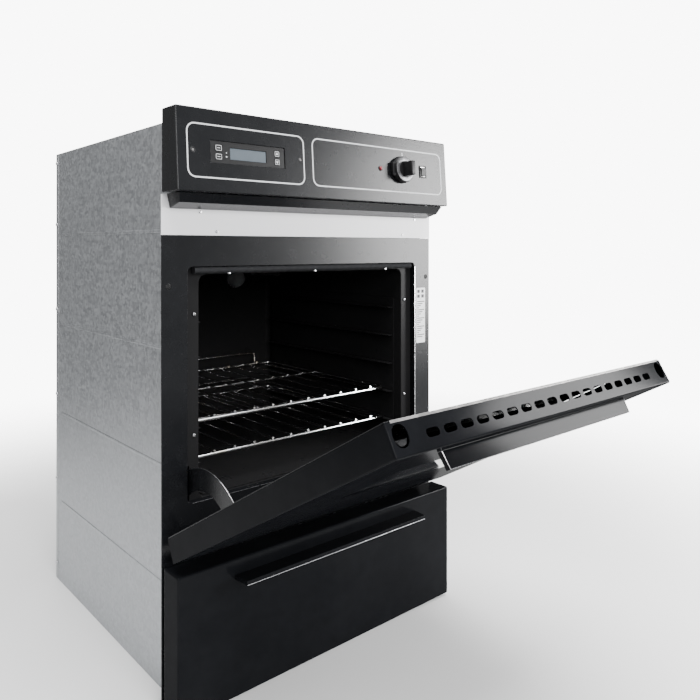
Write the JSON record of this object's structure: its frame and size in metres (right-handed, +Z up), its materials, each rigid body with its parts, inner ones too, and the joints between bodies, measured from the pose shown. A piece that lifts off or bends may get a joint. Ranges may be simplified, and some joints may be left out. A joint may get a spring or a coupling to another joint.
{
  "type": "wall oven",
  "caption": "Built-in black gas wall oven with a leaning control panel, a drop-down oven door standing part open, wire racks and a drop-down broiler door below.",
  "frame": {"origin": "middle of the base pan's underside, halfway between the front plane's datum and the back of the case at 13.05 in behind the broiler door's face", "axes": "+Z up, +X to the right seen from the front, +Y into the cabinet; the front faces -Y"},
  "size_m": [0.6116, 1.0649, 0.9327],
  "materials": {
    "galvanised": "zinc-coated sheet steel, unpainted",
    "black_enamel": "satin-gloss black enamel on sheet steel",
    "white_enamel": "white enamel on sheet steel",
    "cavity_enamel": "glossy black porcelain enamel",
    "chrome": "bright chromed wire",
    "steel": "plain steel",
    "brass": "plain brass and copper",
    "ceramic": "off-white ceramic; stands in for ceramic",
    "fibreglass": "yellow fibreglass blanket",
    "gasket": "dark woven heat seal",
    "black_plastic": "moulded black plastic",
    "display": "unlit grey display",
    "red_lens": "red indicator lens",
    "dark_glass": "black oven-door glass",
    "lamp_glass": "clear lamp cover"
  },
  "bodies": {
    "cabinet": {"base_pan": "galvanised", "side_panel_left": "galvanised", "side_panel_right": "galvanised", "back_panel": "galvanised", "top_panel": "galvanised", "front_frame": "black_enamel", "upper_front_rail": "white_enamel", "oven_liner": "cavity_enamel", "oven_floor": "cavity_enamel", "rack_guide_left": "cavity_enamel", "rack_guide_right": "cavity_enamel", "door_gasket": "gasket", "lamp_lens": "lamp_glass", "lamp_socket": "steel", "sensing_bulb": "steel", "capillary_tube": "brass", "insulation_blanket": "fibreglass", "oven_burner": "steel", "igniter": "ceramic", "gas_valve": "brass", "broiler_liner": "cavity_enamel", "door_hinge_bracket_left": "steel", "door_hinge_bracket_right": "steel", "broiler_hinge_bracket_left": "steel", "broiler_hinge_bracket_right": "steel", "control_panel": "black_enamel", "vent_trim": "black_enamel", "clock_bezel": "black_plastic", "clock_window": "display", "clock_module": "black_plastic", "thermostat_body": "steel", "switch_bezel": "black_plastic", "indicator_lens": "red_lens"},
    "oven_door": {"door_outer_panel": "black_enamel", "door_inner_panel": "black_enamel", "door_outer_glass": "dark_glass", "door_inner_glass": "dark_glass", "door_handle": "black_enamel", "hinge_arm_left": "black_enamel", "hinge_arm_right": "black_enamel", "door_hinge_pin_left": "steel", "door_hinge_pin_right": "steel"},
    "broiler_door": {"broiler_door_panel": "black_enamel", "broiler_door_liner": "black_enamel", "broiler_door_handle": "black_enamel", "broiler_hinge_pin_left": "steel", "broiler_hinge_pin_right": "steel"},
    "upper_rack": {"upper_rack": "chrome", "upper_rack_stop": "chrome"},
    "lower_rack": {"lower_rack": "chrome", "lower_rack_stop": "chrome"},
    "broiler_tray": {"broiler_pan": "cavity_enamel"},
    "broiler_grid": {"broiler_grid": "chrome"},
    "thermostat_knob": {"knob_skirt": "black_plastic", "knob_grip": "black_plastic"},
    "clock_key_left_upper": {"clock_key_left_upper": "black_plastic"},
    "clock_key_left_lower": {"clock_key_left_lower": "black_plastic"},
    "clock_key_right_upper": {"clock_key_right_upper": "black_plastic"},
    "clock_key_right_lower": {"clock_key_right_lower": "black_plastic"},
    "light_rocker": {"light_rocker": "black_plastic"}
  },
  "joints": [
    {"name": "oven_door_hinge", "type": "hinge", "parent": "cabinet", "child": "oven_door", "pos_m": [0, -0.32893, 0.25171], "axis": [1, 0, 0], "range_deg": [-60.5, 29.5]},
    {"name": "broiler_door_hinge", "type": "hinge", "parent": "cabinet", "child": "broiler_door", "pos_m": [0, -0.32385, 0.01524], "axis": [1, 0, 0], "range_deg": [0, 90]},
    {"name": "upper_rack_slide", "type": "slide", "parent": "cabinet", "child": "upper_rack", "axis": [0, -1, 0], "range_m": [0, 0.28]},
    {"name": "lower_rack_slide", "type": "slide", "parent": "cabinet", "child": "lower_rack", "axis": [0, -1, 0], "range_m": [0, 0.19]},
    {"name": "broiler_tray_slide", "type": "slide", "parent": "cabinet", "child": "broiler_tray", "axis": [0, -1, 0], "range_m": [0, 0.16]},
    {"name": "broiler_grid_lift", "type": "slide", "parent": "broiler_tray", "child": "broiler_grid", "axis": [0, 0, 1], "range_m": [0, 0.04]},
    {"name": "thermostat_knob_turn", "type": "hinge", "parent": "cabinet", "child": "thermostat_knob", "pos_m": [0.17272, -0.32697, 0.86792], "axis": [0, 0.9977, -0.0685], "range_deg": [0, 300]},
    {"name": "press_clock_key_left_upper", "type": "slide", "parent": "cabinet", "child": "clock_key_left_upper", "axis": [0, 0.9977, -0.0685], "range_m": [0, 0.0008], "stiffness_N_per_m": 800},
    {"name": "press_clock_key_left_lower", "type": "slide", "parent": "cabinet", "child": "clock_key_left_lower", "axis": [0, 0.9977, -0.0685], "range_m": [0, 0.0008], "stiffness_N_per_m": 800},
    {"name": "press_clock_key_right_upper", "type": "slide", "parent": "cabinet", "child": "clock_key_right_upper", "axis": [0, 0.9977, -0.0685], "range_m": [0, 0.0008], "stiffness_N_per_m": 800},
    {"name": "press_clock_key_right_lower", "type": "slide", "parent": "cabinet", "child": "clock_key_right_lower", "axis": [0, 0.9977, -0.0685], "range_m": [0, 0.0008], "stiffness_N_per_m": 800},
    {"name": "light_rocker_tip", "type": "hinge", "parent": "cabinet", "child": "light_rocker", "pos_m": [0.23343, -0.32542, 0.86832], "axis": [1, 0, 0], "range_deg": [-14, 0]}
  ],
  "couplings": [
    {"joint": "broiler_tray_slide", "follows": "broiler_door_hinge", "m_per_rad": 0.1}
  ]
}
